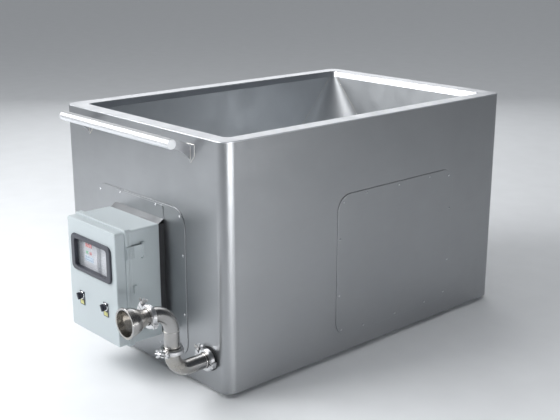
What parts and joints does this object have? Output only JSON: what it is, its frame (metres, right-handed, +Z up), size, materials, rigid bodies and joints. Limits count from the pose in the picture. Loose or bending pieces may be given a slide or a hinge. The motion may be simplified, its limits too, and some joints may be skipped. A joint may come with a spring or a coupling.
{
  "type": "bulk milk tank",
  "caption": "Open-topped jacketed stainless milk tank with conical-cornered basin, push handle, control cabinet, inner pump set and swivelling discharge spout.",
  "frame": {"origin": "on the floor, under the middle of the whole object's bounding box", "axes": "+Z up, -Y towards the front end with the control cabinet, handle and spout, +X towards the side with the large access panel"},
  "size_m": [0.9464, 1.7408, 0.871],
  "materials": {
    "jacket_steel": "fine brushed stainless sheet",
    "panel_steel": "fine brushed stainless sheet",
    "rim_steel": "satin stainless, rounded edges",
    "basin_steel": "smooth mill-finish stainless",
    "plate_aluminium": "plain aluminium evaporator plate",
    "handle_steel": "satin stainless tube",
    "tube_steel": "polished sanitary stainless",
    "clamp_steel": "polished cast stainless",
    "screw_steel": "plain stainless fasteners",
    "frame_steel": "plain stainless section",
    "inner_grey": "light grey painted sheet",
    "foam": "closed-cell polyurethane foam",
    "black_rubber": "matt black rubber",
    "white_rubber": "white food-grade rubber",
    "cabinet_plastic": "light grey moulded plastic, satin",
    "black_plastic": "black moulded plastic",
    "window_clear": "clear polycarbonate",
    "bezel_metal": "bright ring",
    "yellow_label": "blank yellow insert",
    "drive_grey": "light grey plastic",
    "display_red": "red display window",
    "keypad_blue": "blue membrane",
    "key_green": "green key",
    "key_red": "red key",
    "motor_paint": "grey paint"
  },
  "bodies": {
    "tank": {"base_frame": "frame_steel", "basin_floor": "basin_steel", "basin_walls": "basin_steel", "bottom_tray": "frame_steel", "cabinet_body": "cabinet_plastic", "cabinet_carrier": "panel_steel", "cabinet_pad": "black_rubber", "cabinet_pins": "screw_steel", "cooling_plate": "plate_aluminium", "drive_display": "display_red", "drive_keypad": "keypad_blue", "drive_unit": "drive_grey", "foot_pads": "black_rubber", "foot_stems": "screw_steel", "front_panel": "panel_steel", "handle_brackets": "handle_steel", "handle_tube": "handle_steel", "inner_frame": "inner_grey", "insulation": "foam", "jacket_front": "jacket_steel", "jacket_left": "jacket_steel", "jacket_rear": "jacket_steel", "jacket_right": "jacket_steel", "motor_housing": "motor_paint", "panel_screws": "screw_steel", "panel_seals": "black_rubber", "pump_casing": "tube_steel", "pump_pipes": "tube_steel", "side_panel": "panel_steel", "top_rim": "rim_steel", "wall_clamp": "clamp_steel", "wall_grommets": "black_rubber", "wall_joint_seal": "white_rubber"},
    "cabinet_door": {"cabinet_door": "cabinet_plastic", "door_seal": "black_rubber", "window_frame": "black_plastic", "window_pane": "window_clear", "selector_bases": "bezel_metal", "selector_legends": "black_plastic", "selector_labels": "yellow_label"},
    "selector_left": {"selector_knob_left": "black_plastic"},
    "selector_right": {"selector_knob_right": "black_plastic"},
    "latch_upper": {"latch_lever_upper": "cabinet_plastic"},
    "latch_lower": {"latch_lever_lower": "cabinet_plastic"},
    "start_button": {"start_key": "key_green"},
    "stop_button": {"stop_key": "key_red"},
    "discharge_arm": {"lower_elbow": "tube_steel", "riser_joint_seal": "white_rubber", "riser_clamp": "clamp_steel"},
    "spout_arm": {"riser_elbow": "tube_steel", "spout": "tube_steel", "spout_joint_seal": "white_rubber", "spout_clamp": "clamp_steel"},
    "wall_bolt": {"wall_clamp_bolt": "clamp_steel"},
    "wall_nut": {"wall_clamp_wing_nut": "clamp_steel"},
    "riser_bolt": {"riser_clamp_bolt": "clamp_steel"},
    "riser_nut": {"riser_clamp_wing_nut": "clamp_steel"},
    "spout_bolt": {"spout_clamp_bolt": "clamp_steel"},
    "spout_nut": {"spout_clamp_wing_nut": "clamp_steel"},
    "pump_rotor": {"pump_rotor": "tube_steel"}
  },
  "joints": [
    {"name": "cabinet_door_hinge", "type": "hinge", "parent": "tank", "child": "cabinet_door", "pos_m": [-0.16415, -0.6981, 0.344], "axis": [0, 0, -1], "range_deg": [0, 110]},
    {"name": "latch_upper_pivot", "type": "hinge", "parent": "tank", "child": "latch_upper", "pos_m": [0.15785, -0.6436, 0.471], "axis": [0, 0, 1], "range_deg": [0, 75]},
    {"name": "latch_lower_pivot", "type": "hinge", "parent": "tank", "child": "latch_lower", "pos_m": [0.15785, -0.6436, 0.217], "axis": [0, 0, 1], "range_deg": [0, 75]},
    {"name": "selector_left_turn", "type": "hinge", "parent": "cabinet_door", "child": "selector_left", "pos_m": [-0.07715, -0.7456, 0.271], "axis": [0, -1, 0], "range_deg": [-45, 45]},
    {"name": "selector_right_turn", "type": "hinge", "parent": "cabinet_door", "child": "selector_right", "pos_m": [0.07285, -0.7456, 0.271], "axis": [0, -1, 0], "range_deg": [-45, 45]},
    {"name": "start_key_press", "type": "slide", "parent": "tank", "child": "start_button", "axis": [0, 1, 0], "range_m": [0, 0.001], "stiffness_N_per_m": 300},
    {"name": "stop_key_press", "type": "slide", "parent": "tank", "child": "stop_button", "axis": [0, 1, 0], "range_m": [0, 0.001], "stiffness_N_per_m": 300},
    {"name": "discharge_arm_swivel", "type": "hinge", "parent": "tank", "child": "discharge_arm", "pos_m": [0.37985, -0.5616, 0.126], "axis": [0, 1, 0], "range_deg": [-30, 60]},
    {"name": "spout_swivel", "type": "hinge", "parent": "discharge_arm", "child": "spout_arm", "pos_m": [0.37985, -0.6976, 0.202], "axis": [0, 0, 1], "range_deg": [-30, 90]},
    {"name": "pump_spin", "type": "hinge", "parent": "tank", "child": "pump_rotor", "pos_m": [0.14785, -0.0876, 0.178], "axis": [0, 1, 0], "continuous": true},
    {"name": "wall_bolt_swing", "type": "hinge", "parent": "tank", "child": "wall_bolt", "pos_m": [0.33316, -0.5616, 0.12611], "axis": [0, -1, 0], "range_deg": [0, 90]},
    {"name": "wall_nut_turn", "type": "hinge", "parent": "wall_bolt", "child": "wall_nut", "pos_m": [0.33316, -0.5616, 0.12611], "axis": [0.1736, 0, 0.9848], "continuous": true},
    {"name": "riser_bolt_swing", "type": "hinge", "parent": "discharge_arm", "child": "riser_bolt", "pos_m": [0.4072, -0.73544, 0.202], "axis": [0, 0, 1], "range_deg": [0, 90]},
    {"name": "riser_nut_turn", "type": "hinge", "parent": "riser_bolt", "child": "riser_nut", "pos_m": [0.4072, -0.73544, 0.202], "axis": [-0.8988, -0.4384, 0], "continuous": true},
    {"name": "spout_bolt_swing", "type": "hinge", "parent": "spout_arm", "child": "spout_bolt", "pos_m": [0.33601, -0.7816, 0.35607], "axis": [0, -1, 0], "range_deg": [0, 90]},
    {"name": "spout_nut_turn", "type": "hinge", "parent": "spout_bolt", "child": "spout_nut", "pos_m": [0.33601, -0.7816, 0.35607], "axis": [0.5, 0, 0.866], "continuous": true}
  ]
}
